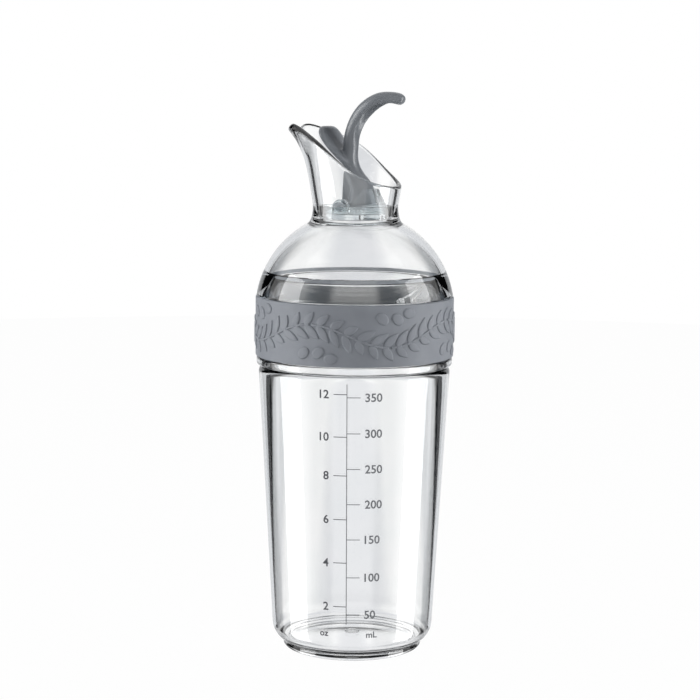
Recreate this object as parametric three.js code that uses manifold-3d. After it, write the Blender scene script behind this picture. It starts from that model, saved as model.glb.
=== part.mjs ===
// An oil and dressing dispenser bottle in clear moulded plastic, in millimetres, +Z up.
// The bottle stands on the XY plane, centred on the Z axis, and its spout pours towards -X.
// A domed lid with a pitcher spout screws onto the bottle over a soft grip band. Inside the spout
// a hooked lever tilts on a pin and lifts a silicone stopper off the outlet in a pressed-in floor.

import * as THREE from "three";
import { mergeVertices } from "three/addons/utils/BufferGeometryUtils.js";
import Module from "manifold-3d";

const wasm = await Module();
wasm.setup();

// Resolution and clearances
const TURN_STEPS = 48; // facets round every turned part
const ARC_STEPS = 2; // divisions of a small rounded edge
const SEAT_GAP = 0.3; // between two pieces that seat on each other
const SLIDE_GAP = 0.35; // round a piece that slips over another

// Bottle body
const SHOULDER_RADIUS = 39.1; // top of the tapered wall
const SHOULDER_Z = 116.8;
const SHOULDER_ROUND = 2.4;
const BODY_TAPER = 5.9; // how much narrower the wall is at the heel
const HEEL_ROUND = 8;
const FOOT_INSET = 4.6;
const FOOT_RING_WIDTH = 2.8;
const FOOT_HEIGHT = 2.6;
const FOOT_EDGE = 0.4;
const FOOT_RECESS = 0.9;
const GATE_MARK_RADIUS = 3.2;
const GATE_MARK_WIDTH = 0.8;
const GATE_MARK_HEIGHT = 0.4;
const HEEL_WALL = 1.8;
const FLOOR_Z = 4.6;
const INSIDE_CORNER = 6;
const INSIDE_BEND_Z = 55; // the inside tapers below this height and is nearly straight above it
const INSIDE_BEND = 0.3;

// Bottle neck
const NECK_INSET = 3.7;
const NECK_WALL = 1.8;
const NECK_HEIGHT = 35.6;
const STRAIGHT_BORE = 48.4; // below the rim
const RIM_ROUND = 0.4;

// Screw thread: two starts, with the lid's ridges lying under the bottle's
const THREAD_STARTS = 2;
const THREAD_LEAD = 12; // rise in one turn
const THREAD_TURNS = 0.75; // length of each ridge
const RIDGE_HEIGHT = 1;
const RIDGE_BASE = 2.6;
const RIDGE_CREST = 1.1;
const RIDGE_CLEARANCE = 0.4; // between a crest and the wall it runs along
const RIDGE_ROOT = 0.35; // how far a ridge is sunk into its wall
const THREAD_FOOT = 19.2; // from the shoulder to the start of the bottle's ridges
const THREAD_PLAY = 0.4; // up and down, between the two threads

// Lid: skirt, dome and neck in one moulding
const SKIRT_WALL = 2.1;
const BAND_DEPTH = 1.7; // of the recess that the grip band sits in
const FLANGE_PROUD = 1.1;
const FLANGE_HEIGHT = 3.5;
const FLANGE_ROUND = 0.8;
const BAND_HEIGHT = 24.2;
const BAND_EDGE = 0.5;
const DOME_WALL = 2.7;
const DOME_DROP = 6.4; // the dome's centre lies this far below its edge
const BORE_STEP = 3.8; // the bore closes in round the neck this far below the rim
const GASKET_HEIGHT = 1.4;
const GASKET_WIDTH = 1.5;
const THROAT_RADIUS = 13.2; // under the ledge that carries the spout floor
const LEDGE_RISE = 1.15; // from the foot of the spout to the ledge

// Spout
const WAIST_RISE = 7.15; // from the foot of the spout to its narrowest place
const WAIST_RADIUS = 17.3;
const SPOUT_WALL = 2.2;
const NECK_FILLET = 1.76;
const FILLET_RISE = 1.6;
const SPOUT_SPREAD = 2.9; // how much the round part opens by the lip's height
const LIP_RISE = 32; // from the waist to where the pouring lip reaches its full length
const LIP_LENGTH = 9.9; // how far the lip stands out past the round part
const LIP_CURVE = 2.7; // how late the lip's front wall leans out
const LIP_SHARE = 0.8; // the part of the lip's reach that is in its narrow beak
const LIP_SHARPNESS = 20;
const MOUTH_RISE = 17.95; // from the waist to the slanted mouth over the axis
const MOUTH_SLOPE = 0.3; // towards both ends
const MOUTH_STEP = 5.7; // extra fall, half before and half behind the axis
const MOUTH_STEP_LENGTH = 11;
const LIP_CROWN = 1.2; // the lip's two corners are raised
const LIP_DROOP = 4.2; // and its middle droops between them
const DROOP_SHARPNESS = 120;
const SPOUT_LEVELS = 5;

// Spout floor, with its outlet and bearing lugs
const FLOOR_PLATE = 2;
const CUP_WALL = 1.2;
const CUP_HEIGHT = 5.4;
const OUTLET_RADIUS = 3.9;
const OUTLET_LIP_WIDTH = 1.2;
const OUTLET_LIP_HEIGHT = 0.6;
const PIVOT_REACH = 7.7; // from the outlet's axis back to the lever's pivot
const PIVOT_HEIGHT = 2.9; // over the spout floor
const LUG_ROUND = 3.5;
const LUG_THICKNESS = 1.6;
const LUG_INSIDE = 7.1; // half the space between the two lugs
const LUG_SINK = 1.5; // into the floor plate

// Hinge pin
const PIN_RADIUS = 1.4;
const PIN_HEAD_RADIUS = 2.3;
const PIN_HEAD_HEIGHT = 0.8;
const PIN_DIMPLE_RADIUS = 1.1;
const PIN_DIMPLE_DEPTH = 0.5;

// Lever: the sizes of its hook and paddle are in the two lists further down
const HUB_RADIUS = 2.5;
const HORN_SIDES = 18;
const HOOK_SQUARENESS = 0.85; // 1 is a plain ellipse in section, and less is boxier
const PADDLE_SQUARENESS = 0.6;

// Stopper
const STOPPER_PLATE = 2.1;
const STOPPER_RADIUS = 7.6;
const STOPPER_TOP_RADIUS = 4.6;
const STOPPER_RIM_HEIGHT = 3;
const STOPPER_HEIGHT = 9.6;
const STOPPER_LIP = 0.6;
const STOPPER_CLEARANCE = 0.8; // to the wall of the spout floor's cup

// Places that follow from the sizes above
const HEEL_RADIUS = SHOULDER_RADIUS - BODY_TAPER;
const FOOT_RADIUS = HEEL_RADIUS - FOOT_INSET;
const INSIDE_LOW_RADIUS = HEEL_RADIUS - HEEL_WALL;
const NECK_RADIUS = SHOULDER_RADIUS - NECK_INSET;
const NECK_BORE_RADIUS = NECK_RADIUS - NECK_WALL;
const RIM_Z = SHOULDER_Z + NECK_HEIGHT;
const BOTTLE_THREAD_Z = SHOULDER_Z + THREAD_FOOT;
const BORE_RADIUS = NECK_RADIUS + RIDGE_HEIGHT + RIDGE_CLEARANCE;
const BORE_TOP_RADIUS = NECK_RADIUS + RIDGE_CLEARANCE;
const SKIRT_RADIUS = BORE_RADIUS + SKIRT_WALL;
const FLANGE_RADIUS = SKIRT_RADIUS + FLANGE_PROUD;
const DOME_RADIUS = SKIRT_RADIUS + BAND_DEPTH;
const DOME_INSIDE = DOME_RADIUS - DOME_WALL;
const FLANGE_Z = SHOULDER_Z + SEAT_GAP;
const BAND_LOW_Z = FLANGE_Z + FLANGE_HEIGHT + SEAT_GAP;
const BAND_HIGH_Z = BAND_LOW_Z + BAND_HEIGHT;
const DOME_EDGE_Z = BAND_HIGH_Z + SEAT_GAP;
const DOME_CENTRE_Z = DOME_EDGE_Z - DOME_DROP;
const GASKET_Z = RIM_Z + SEAT_GAP;
const GASKET_SEAT_Z = GASKET_Z + GASKET_HEIGHT + SEAT_GAP;
const SPOUT_FOOT_RADIUS = WAIST_RADIUS + NECK_FILLET;
const SPOUT_FOOT_Z = DOME_CENTRE_Z + Math.sqrt(DOME_RADIUS ** 2 - SPOUT_FOOT_RADIUS ** 2);
const LEDGE_Z = SPOUT_FOOT_Z + LEDGE_RISE;
const WAIST_Z = SPOUT_FOOT_Z + WAIST_RISE;
const CUP_RADIUS = WAIST_RADIUS - SPOUT_WALL - SEAT_GAP;
const OUTLET_X = CUP_RADIUS - CUP_WALL - STOPPER_CLEARANCE - STOPPER_RADIUS;
const PIVOT_X = OUTLET_X - PIVOT_REACH;
const CUP_Z = LEDGE_Z + SEAT_GAP;
const SPOUT_FLOOR_Z = CUP_Z + FLOOR_PLATE;
const PIVOT_Z = SPOUT_FLOOR_Z + PIVOT_HEIGHT;
const STOPPER_Z = SPOUT_FLOOR_Z + OUTLET_LIP_HEIGHT + SEAT_GAP;

const clear = { roughness: 0.05, metalness: 0, transparent: true };
const MATERIALS = {
  clearBody: new THREE.MeshStandardMaterial({ color: "#e9eef0", opacity: 0.3, ...clear }),
  clearFloor: new THREE.MeshStandardMaterial({ color: "#d9e6e6", opacity: 0.4, ...clear }),
  greyGrip: new THREE.MeshStandardMaterial({ color: "#8d9096", roughness: 0.7, metalness: 0 }),
  greyGloss: new THREE.MeshStandardMaterial({ color: "#74787d", roughness: 0.25, metalness: 0 }),
  softClear: new THREE.MeshStandardMaterial({ color: "#d5dadd", opacity: 0.6, roughness: 0.35, transparent: true }),
};

// A closed geometry as a manifold-3d solid, with its faces turned outwards.
function solid(geometry) {
  const bare = geometry.index ? geometry.toNonIndexed() : geometry.clone();
  bare.deleteAttribute("normal");
  bare.deleteAttribute("uv");
  const merged = mergeVertices(bare, 1e-4);
  const triangles = Uint32Array.from(merged.index.array);
  const points = merged.attributes.position;
  const [a, b, c] = [new THREE.Vector3(), new THREE.Vector3(), new THREE.Vector3()];
  let volume = 0;
  for (let i = 0; i < triangles.length; i += 3) {
    a.fromBufferAttribute(points, triangles[i]);
    b.fromBufferAttribute(points, triangles[i + 1]);
    c.fromBufferAttribute(points, triangles[i + 2]);
    volume += a.dot(b.cross(c));
  }
  if (volume < 0) triangles.reverse();
  const vertProperties = Float32Array.from(points.array);
  return new wasm.Manifold(new wasm.Mesh({ numProp: 3, vertProperties, triVerts: triangles }));
}

// A manifold-3d solid as a named mesh.
function piece(name, shape, material) {
  const { numProp, numVert, vertProperties, triVerts } = shape.getMesh();
  const points = new Float32Array(numVert * 3);
  for (let i = 0; i < numVert; i++) points.set(vertProperties.subarray(i * numProp, i * numProp + 3), i * 3);
  const geometry = new THREE.BufferGeometry();
  geometry.setAttribute("position", new THREE.BufferAttribute(points, 3));
  geometry.setIndex(new THREE.BufferAttribute(triVerts, 1));
  geometry.computeVertexNormals();
  const mesh = new THREE.Mesh(geometry, material);
  mesh.name = name;
  return mesh;
}

// A profile of (radius, height) turned about the Z axis.
function turned(points, steps = TURN_STEPS) {
  return new THREE.LatheGeometry(points, steps).rotateX(Math.PI / 2);
}

// The points of a path, without the ones that repeat their neighbour.
function outline(path, steps = ARC_STEPS) {
  return path.getPoints(steps).filter((p, i, all) => i === 0 || p.distanceTo(all[i - 1]) > 1e-6);
}

// A profile whose last point is its first one, for a ring that doesn't reach the axis.
function closedOutline(path, steps = ARC_STEPS) {
  const points = outline(path, steps);
  if (points[0].distanceTo(points[points.length - 1]) > 1e-6) points.push(points[0].clone());
  points[points.length - 1].copy(points[0]);
  return points;
}

// A skin stretched over a row of rings with the same number of points, closed at both ends.
function loft(rings) {
  const count = rings[0].length;
  const points = rings.flat();
  const ends = [rings[0], rings[rings.length - 1]].map((ring) =>
    ring.reduce((sum, p) => sum.add(p), new THREE.Vector3()).divideScalar(count),
  );
  const index = [];
  for (let r = 0; r < rings.length - 1; r++) {
    for (let i = 0; i < count; i++) {
      const [low, lowNext] = [r * count + i, r * count + ((i + 1) % count)];
      index.push(low, lowNext, low + count, lowNext, lowNext + count, low + count);
    }
  }
  const [first, last] = [points.length, points.length + 1];
  const top = (rings.length - 1) * count;
  for (let i = 0; i < count; i++) {
    index.push(first, (i + 1) % count, i);
    index.push(last, top + i, top + ((i + 1) % count));
  }
  return new THREE.BufferGeometry().setFromPoints([...points, ...ends]).setIndex(index);
}

// A cylinder between two points on a line parallel to Y.
function crossBar(radius, halfLength, x, z, sides = 24) {
  return solid(new THREE.CylinderGeometry(radius, radius, 2 * halfLength, sides).translate(x, 0, z));
}

// The ridges of a screw thread. A positive height stands out from the wall, a negative one stands into the bore.
function threadRidges(wallRadius, height, lowZ, stepZ) {
  const steps = Math.round(THREAD_TURNS * TURN_STEPS);
  const root = wallRadius - Math.sign(height) * RIDGE_ROOT;
  let all = null;
  for (let start = 0; start < THREAD_STARTS; start++) {
    const rings = [];
    for (let i = 0; i <= steps; i++) {
      const share = i / steps;
      const angle = (start / THREAD_STARTS + share * THREAD_TURNS) * 2 * Math.PI;
      const rise = Math.min(1, 6 * Math.min(share, 1 - share) + 0.15); // the ends run out into the wall
      const z = lowZ + stepZ + share * THREAD_TURNS * THREAD_LEAD;
      const crest = wallRadius + height * rise;
      const section = [
        [root, -RIDGE_BASE / 2],
        [crest, -RIDGE_CREST / 2],
        [crest, RIDGE_CREST / 2],
        [root, RIDGE_BASE / 2],
      ];
      rings.push(section.map(([r, dz]) => new THREE.Vector3(r * Math.cos(angle), r * Math.sin(angle), z + dz)));
    }
    const ridge = solid(loft(rings));
    all = all ? all.add(ridge) : ridge;
  }
  return all;
}

// The bottle: foot ring, rounded heel, tapered wall, shoulder and threaded neck, with a smooth inside.
function bottle() {
  const heelCentre = HEEL_RADIUS - HEEL_ROUND;
  const heelStart = -Math.acos((FOOT_RADIUS + SEAT_GAP - heelCentre) / HEEL_ROUND);
  const heelZ = FOOT_HEIGHT - HEEL_ROUND * Math.sin(heelStart);
  const ringInside = FOOT_RADIUS - FOOT_RING_WIDTH;
  const path = new THREE.Path();
  path.moveTo(0, FOOT_RECESS);
  path.lineTo(GATE_MARK_RADIUS - GATE_MARK_WIDTH, FOOT_RECESS);
  path.lineTo(GATE_MARK_RADIUS - GATE_MARK_WIDTH / 2, FOOT_RECESS - GATE_MARK_HEIGHT);
  path.lineTo(GATE_MARK_RADIUS, FOOT_RECESS);
  path.lineTo(ringInside - FOOT_RECESS, FOOT_RECESS);
  path.lineTo(ringInside, 0);
  path.lineTo(FOOT_RADIUS - FOOT_EDGE, 0);
  path.lineTo(FOOT_RADIUS, FOOT_EDGE);
  path.lineTo(FOOT_RADIUS, FOOT_HEIGHT);
  const heel = new THREE.EllipseCurve(heelCentre, heelZ, HEEL_ROUND, HEEL_ROUND, heelStart, 0).getPoints(4);
  for (const p of heel) path.lineTo(p.x, p.y);
  path.lineTo(SHOULDER_RADIUS, SHOULDER_Z - SHOULDER_ROUND);
  path.absarc(SHOULDER_RADIUS - SHOULDER_ROUND, SHOULDER_Z - SHOULDER_ROUND, SHOULDER_ROUND, 0, Math.PI / 2, false);
  path.lineTo(NECK_RADIUS, SHOULDER_Z);
  path.lineTo(NECK_RADIUS, RIM_Z - RIM_ROUND);
  path.absarc(NECK_RADIUS - RIM_ROUND, RIM_Z - RIM_ROUND, RIM_ROUND, 0, Math.PI / 2, false);
  path.absarc(NECK_BORE_RADIUS + RIM_ROUND, RIM_Z - RIM_ROUND, RIM_ROUND, Math.PI / 2, Math.PI, false);
  const boreZ = RIM_Z - STRAIGHT_BORE;
  path.lineTo(NECK_BORE_RADIUS, boreZ);
  const low = FLOOR_Z + INSIDE_CORNER;
  const taper = new THREE.QuadraticBezierCurve(
    new THREE.Vector2(NECK_BORE_RADIUS, boreZ),
    new THREE.Vector2(NECK_BORE_RADIUS - INSIDE_BEND, INSIDE_BEND_Z),
    new THREE.Vector2(INSIDE_LOW_RADIUS, low),
  );
  for (const p of taper.getPoints(3)) path.lineTo(p.x, p.y);
  const cornerX = INSIDE_LOW_RADIUS - INSIDE_CORNER;
  const corner = new THREE.EllipseCurve(cornerX, low, INSIDE_CORNER, INSIDE_CORNER, 0, -Math.PI / 2, true);
  for (const p of corner.getPoints(3)) path.lineTo(p.x, p.y);
  path.lineTo(0, FLOOR_Z);
  const shell = solid(turned(outline(path)));
  return shell.add(threadRidges(NECK_RADIUS, RIDGE_HEIGHT, BOTTLE_THREAD_Z, 0));
}

// How far the spout's outside stands from the axis, at a height and at an angle from the pouring direction.
function spoutRadius(angle, z) {
  const climb = Math.max(0, (z - WAIST_Z) / LIP_RISE);
  const round = WAIST_RADIUS + SPOUT_SPREAD * (1 - (1 - Math.min(climb, 1)) ** 2);
  const facing = (1 + Math.cos(angle)) / 2;
  const beak = LIP_SHARE * facing ** LIP_SHARPNESS + (1 - LIP_SHARE) * facing ** 2;
  return round + LIP_LENGTH * climb ** LIP_CURVE * beak;
}

// The height of the mouth's edge at an angle from the pouring direction.
function mouthHeight(angle) {
  const facing = (1 + Math.cos(angle)) / 2;
  const lip = LIP_CROWN * facing ** LIP_SHARPNESS - LIP_DROOP * facing ** DROOP_SHARPNESS;
  let z = WAIST_Z + MOUTH_RISE;
  for (let i = 0; i < 12; i++) {
    const x = -spoutRadius(angle, z) * Math.cos(angle);
    z = WAIST_Z + MOUTH_RISE - MOUTH_SLOPE * x - MOUTH_STEP * Math.tanh(x / MOUTH_STEP_LENGTH) + lip;
  }
  return z;
}

// The lid is turned with a straight spout, and the spout is then opened out and cut to its slanted mouth.
function lid() {
  const drawnZ = WAIST_Z + SPOUT_LEVELS; // the straight spout is drawn one unit high for each level
  const domeStart = Math.asin((DOME_EDGE_Z - DOME_CENTRE_Z) / DOME_RADIUS);
  const domeEnd = Math.acos(SPOUT_FOOT_RADIUS / DOME_RADIUS);
  const insideEnd = Math.acos(THROAT_RADIUS / DOME_INSIDE);
  const seatStart = Math.asin((GASKET_SEAT_Z - DOME_CENTRE_Z) / DOME_INSIDE);
  const half = SPOUT_WALL / 2;
  const path = new THREE.Path();
  path.moveTo(BORE_RADIUS, FLANGE_Z);
  path.lineTo(FLANGE_RADIUS - FLANGE_ROUND, FLANGE_Z);
  path.absarc(FLANGE_RADIUS - FLANGE_ROUND, FLANGE_Z + FLANGE_ROUND, FLANGE_ROUND, -Math.PI / 2, 0, false);
  const flangeTop = FLANGE_Z + FLANGE_HEIGHT;
  path.absarc(FLANGE_RADIUS - FLANGE_ROUND, flangeTop - FLANGE_ROUND, FLANGE_ROUND, 0, Math.PI / 2, false);
  path.lineTo(SKIRT_RADIUS, FLANGE_Z + FLANGE_HEIGHT);
  path.lineTo(SKIRT_RADIUS, DOME_EDGE_Z);
  const outside = outline(path);
  const dome = new THREE.EllipseCurve(0, DOME_CENTRE_Z, DOME_RADIUS, DOME_RADIUS, domeStart, domeEnd).getPoints(8);
  const fillet = new THREE.QuadraticBezierCurve(
    new THREE.Vector2(SPOUT_FOOT_RADIUS, SPOUT_FOOT_Z),
    new THREE.Vector2(WAIST_RADIUS, SPOUT_FOOT_Z + FILLET_RISE),
    new THREE.Vector2(WAIST_RADIUS, WAIST_Z),
  ).getPoints(3);
  const up = Array.from({ length: SPOUT_LEVELS }, (_, i) => new THREE.Vector2(WAIST_RADIUS, WAIST_Z + i + 1));
  const lip = new THREE.EllipseCurve(WAIST_RADIUS - half, drawnZ, half, half, 0, Math.PI).getPoints(4);
  const down = up.map((p) => new THREE.Vector2(WAIST_RADIUS - SPOUT_WALL, p.y)).reverse();
  const throat = [
    [WAIST_RADIUS - SPOUT_WALL, WAIST_Z],
    [WAIST_RADIUS - SPOUT_WALL, LEDGE_Z],
    [THROAT_RADIUS, LEDGE_Z],
  ].map(([r, z]) => new THREE.Vector2(r, z));
  const ceiling = new THREE.EllipseCurve(0, DOME_CENTRE_Z, DOME_INSIDE, DOME_INSIDE, insideEnd, seatStart, true);
  const bore = [
    [BORE_TOP_RADIUS, GASKET_SEAT_Z],
    [BORE_TOP_RADIUS, RIM_Z - BORE_STEP + RIDGE_HEIGHT],
    [BORE_RADIUS, RIM_Z - BORE_STEP],
    [BORE_RADIUS, FLANGE_Z],
  ].map(([r, z]) => new THREE.Vector2(r, z));
  const profile = [...outside, ...dome, ...fillet, ...up, ...lip, ...down, ...throat, ...ceiling.getPoints(6), ...bore];
  const points = profile.filter((p, i) => i === 0 || p.distanceTo(profile[i - 1]) > 1e-6);
  const geometry = turned(points);
  const position = geometry.attributes.position;
  for (let i = 0; i < position.count; i++) {
    const [x, y, z] = [position.getX(i), position.getY(i), position.getZ(i)];
    if (z <= WAIST_Z + 1e-6) continue;
    const angle = Math.atan2(y, -x);
    const share = Math.min(1, (z - WAIST_Z) / SPOUT_LEVELS);
    const rim = mouthHeight(angle);
    const height = WAIST_Z + share * (rim - WAIST_Z);
    const radius = spoutRadius(angle, height) + Math.hypot(x, y) - WAIST_RADIUS;
    position.setXYZ(i, -radius * Math.cos(angle), radius * Math.sin(angle), height + Math.max(0, z - drawnZ));
  }
  const flank = (RIDGE_BASE - RIDGE_CREST) / (RIDGE_HEIGHT + RIDGE_ROOT) / 2;
  const underBottleRidge = -(RIDGE_CREST + flank * (RIDGE_HEIGHT - RIDGE_CLEARANCE)) - THREAD_PLAY;
  return solid(geometry).add(threadRidges(BORE_RADIUS, -RIDGE_HEIGHT, BOTTLE_THREAD_Z, underBottleRidge));
}

// The flat silicone ring between the bottle's rim and the lid.
function lidGasket() {
  const outer = BORE_TOP_RADIUS - SLIDE_GAP;
  const inner = outer - GASKET_WIDTH;
  const high = GASKET_Z + GASKET_HEIGHT;
  const path = new THREE.Path();
  path.moveTo(inner, GASKET_Z);
  path.lineTo(outer, GASKET_Z);
  path.lineTo(outer, high);
  path.lineTo(inner, high);
  path.lineTo(inner, GASKET_Z);
  return solid(turned(closedOutline(path)));
}

// The soft sleeve that sits in the skirt's recess, with rounded edges.
function gripBand() {
  const inner = SKIRT_RADIUS + SLIDE_GAP;
  const path = new THREE.Path();
  path.moveTo(inner, BAND_LOW_Z);
  path.lineTo(DOME_RADIUS - BAND_EDGE, BAND_LOW_Z);
  path.absarc(DOME_RADIUS - BAND_EDGE, BAND_LOW_Z + BAND_EDGE, BAND_EDGE, -Math.PI / 2, 0, false);
  path.absarc(DOME_RADIUS - BAND_EDGE, BAND_HIGH_Z - BAND_EDGE, BAND_EDGE, 0, Math.PI / 2, false);
  path.lineTo(inner, BAND_HIGH_Z);
  path.lineTo(inner, BAND_LOW_Z);
  return solid(turned(closedOutline(path)));
}

// The floor pressed into the spout: a shallow cup with a lipped outlet and two lugs for the pin.
function spoutFloor() {
  const inside = CUP_RADIUS - CUP_WALL;
  const cup = [
    [0, CUP_Z],
    [CUP_RADIUS, CUP_Z],
    [CUP_RADIUS, CUP_Z + CUP_HEIGHT],
    [inside, CUP_Z + CUP_HEIGHT],
    [inside, SPOUT_FLOOR_Z],
    [0, SPOUT_FLOOR_Z],
  ].map(([r, z]) => new THREE.Vector2(r, z));
  const lip = new THREE.CylinderGeometry(
    OUTLET_RADIUS + OUTLET_LIP_WIDTH * 0.7,
    OUTLET_RADIUS + OUTLET_LIP_WIDTH,
    FLOOR_PLATE + OUTLET_LIP_HEIGHT,
    24,
  );
  lip.rotateX(Math.PI / 2).translate(OUTLET_X, 0, CUP_Z + (FLOOR_PLATE + OUTLET_LIP_HEIGHT) / 2);
  const outlet = new THREE.CylinderGeometry(OUTLET_RADIUS, OUTLET_RADIUS, 4 * FLOOR_PLATE, 24);
  outlet.rotateX(Math.PI / 2).translate(OUTLET_X, 0, SPOUT_FLOOR_Z);
  const ear = new THREE.Shape();
  ear.moveTo(PIVOT_X - LUG_ROUND, SPOUT_FLOOR_Z - LUG_SINK);
  ear.lineTo(PIVOT_X + LUG_ROUND, SPOUT_FLOOR_Z - LUG_SINK);
  ear.lineTo(PIVOT_X + LUG_ROUND, PIVOT_Z);
  ear.absarc(PIVOT_X, PIVOT_Z, LUG_ROUND, 0, Math.PI, false);
  ear.closePath();
  const hole = new THREE.Path().absarc(PIVOT_X, PIVOT_Z, PIN_RADIUS + SEAT_GAP, 0, 2 * Math.PI, true);
  ear.holes.push(hole);
  let shape = solid(turned(cup)).add(solid(lip));
  for (const side of [-1, 1]) {
    const lug = new THREE.ExtrudeGeometry(ear, { depth: LUG_THICKNESS, bevelEnabled: false, curveSegments: 12 });
    lug.rotateX(Math.PI / 2).translate(0, side * (LUG_INSIDE + LUG_THICKNESS / 2) + LUG_THICKNESS / 2, 0);
    shape = shape.add(solid(lug));
  }
  return shape.subtract(solid(outlet));
}

// The pin through both lugs and the lever's hub, with a dimpled head at each end.
function hingePin() {
  const shoulder = LUG_INSIDE + LUG_THICKNESS + SEAT_GAP;
  const reach = shoulder + PIN_HEAD_HEIGHT;
  let shape = crossBar(PIN_RADIUS, reach - PIN_HEAD_HEIGHT / 2, PIVOT_X, PIVOT_Z);
  for (const side of [-1, 1]) {
    const head = new THREE.CylinderGeometry(PIN_HEAD_RADIUS, PIN_HEAD_RADIUS, PIN_HEAD_HEIGHT, 24);
    const dimple = new THREE.CylinderGeometry(PIN_DIMPLE_RADIUS, PIN_DIMPLE_RADIUS, 2 * PIN_DIMPLE_DEPTH, 16);
    shape = shape.add(solid(head.translate(PIVOT_X, side * (shoulder + PIN_HEAD_HEIGHT / 2), PIVOT_Z)));
    shape = shape.subtract(solid(dimple.translate(PIVOT_X, side * reach, PIVOT_Z)));
  }
  return shape;
}

// Hook of the lever, from its foot over the outlet to its tip, seen from the pivot:
// [x, z, half depth, half width, scoop]. The scoop hollows the face that the thumb pushes on.
const HOOK = [
  [7.1, 0.7, 4.9, 4.9, 0],
  [6.8, 2.8, 4.8, 4.8, 0],
  [6.1, 5.8, 4.6, 4.8, 0],
  [4.6, 8.8, 4.1, 4.7, 0],
  [2.6, 12.2, 3.3, 4.3, 0],
  [1, 15.8, 2.8, 3.9, 0],
  [0.2, 19.8, 2.7, 3.7, 0],
  [0.2, 24.2, 2.9, 3.6, 0],
  [1.2, 29.4, 3.2, 3.8, 0.3],
  [3.9, 34.8, 3.6, 4.4, 0.8],
  [8.1, 39.4, 3.8, 4.9, 1.1],
  [13.4, 42.5, 3.5, 4.7, 0.9],
  [18.7, 43.4, 2.8, 3.8, 0.3],
  [22.1, 43.2, 2.2, 2.9, 0],
  [23.5, 43, 1.1, 1.6, 0],
];
const FOOT_STATIONS = 5; // of the hook, inside the stopper

// Paddle of the lever, a broad leaf that leans forward over the pouring side.
const PADDLE = [
  [1.7, 15.2, 1.6, 3.6, 0],
  [-1.1, 18.7, 1.5, 6.4, 0],
  [-4.1, 22.2, 1.3, 8.4, 0],
  [-6.9, 25.8, 1.3, 9.6, 0],
  [-9.1, 29.1, 1.4, 9.3, 0],
  [-10.3, 31.2, 1.4, 7.4, 0],
  [-10.9, 32.3, 0.8, 5, 0],
];

// A round-edged bar that follows a list of stations in the XZ plane, grown by a margin all round.
function bar(stations, squareness, steps, margin = 0) {
  const track = new THREE.SplineCurve(stations.map(([x, z]) => new THREE.Vector2(PIVOT_X + x, PIVOT_Z + z)));
  const rings = [];
  const count = stations.length - 1;
  for (let i = 0; i <= count * steps; i++) {
    const at = i / steps;
    const low = Math.min(Math.floor(at), count - 1);
    const mix = at - low;
    const [depth, width, scoop] = [2, 3, 4].map((k) => THREE.MathUtils.lerp(stations[low][k], stations[low + 1][k], mix));
    const centre = track.getPoint(at / count);
    const along = track.getTangent(at / count);
    const ring = [];
    for (let k = 0; k < HORN_SIDES; k++) {
      const angle = (k / HORN_SIDES) * 2 * Math.PI;
      const [c, s] = [Math.cos(angle), Math.sin(angle)];
      const side = Math.sign(s) * Math.abs(s) ** squareness;
      let out = Math.sign(c) * Math.abs(c) ** squareness;
      if (out > 0) out *= 1 - scoop * (1 - side ** 2);
      const [across, deep] = [side * (width + margin), out * (depth + margin)];
      ring.push(new THREE.Vector3(centre.x + deep * along.y, across, centre.y - deep * along.x));
    }
    rings.push(ring);
  }
  return solid(loft(rings));
}

// The lever: hook, paddle and the hub that turns on the pin.
function lever() {
  return bar(HOOK, HOOK_SQUARENESS, 2)
    .add(bar(PADDLE, PADDLE_SQUARENESS, 1))
    .add(crossBar(HUB_RADIUS, LUG_INSIDE - SEAT_GAP, PIVOT_X, PIVOT_Z))
    .subtract(crossBar(PIN_RADIUS + SEAT_GAP, LUG_INSIDE + SEAT_GAP, PIVOT_X, PIVOT_Z));
}

// The silicone bell that is pushed over the lever's foot and closes the outlet.
function stopper() {
  const profile = [
    [0, STOPPER_Z],
    [STOPPER_RADIUS - STOPPER_LIP, STOPPER_Z],
    [STOPPER_RADIUS, STOPPER_Z + STOPPER_LIP],
    [STOPPER_RADIUS, STOPPER_Z + STOPPER_RIM_HEIGHT],
    [STOPPER_TOP_RADIUS, STOPPER_Z + STOPPER_HEIGHT],
    [0, STOPPER_Z + STOPPER_HEIGHT],
  ].map(([r, z]) => new THREE.Vector2(r, z));
  const bell = solid(turned(profile, 32).translate(OUTLET_X, 0, 0));
  const foot = HOOK.slice(0, FOOT_STATIONS).map(([x, z, ...rest], i) => [x, i === 0 ? z - SEAT_GAP : z, ...rest]);
  return bell
    .subtract(bar(foot, HOOK_SQUARENESS, 2, SEAT_GAP))
    .subtract(crossBar(HUB_RADIUS + SEAT_GAP, LUG_INSIDE, PIVOT_X, PIVOT_Z));
}

const dispenser = new THREE.Group();
dispenser.name = "oil_dispenser_bottle";
dispenser.add(
  piece("bottle", bottle(), MATERIALS.clearBody),
  piece("lid_gasket", lidGasket(), MATERIALS.greyGrip),
  piece("lid", lid(), MATERIALS.clearBody),
  piece("grip_band", gripBand(), MATERIALS.greyGrip),
  piece("spout_floor", spoutFloor(), MATERIALS.clearFloor),
  piece("hinge_pin", hingePin(), MATERIALS.greyGloss),
  piece("lever", lever(), MATERIALS.greyGloss),
  piece("stopper", stopper(), MATERIALS.softClear),
);

export default dispenser;
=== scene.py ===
import math

import bmesh
import bpy
from mathutils import Matrix, Vector


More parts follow.
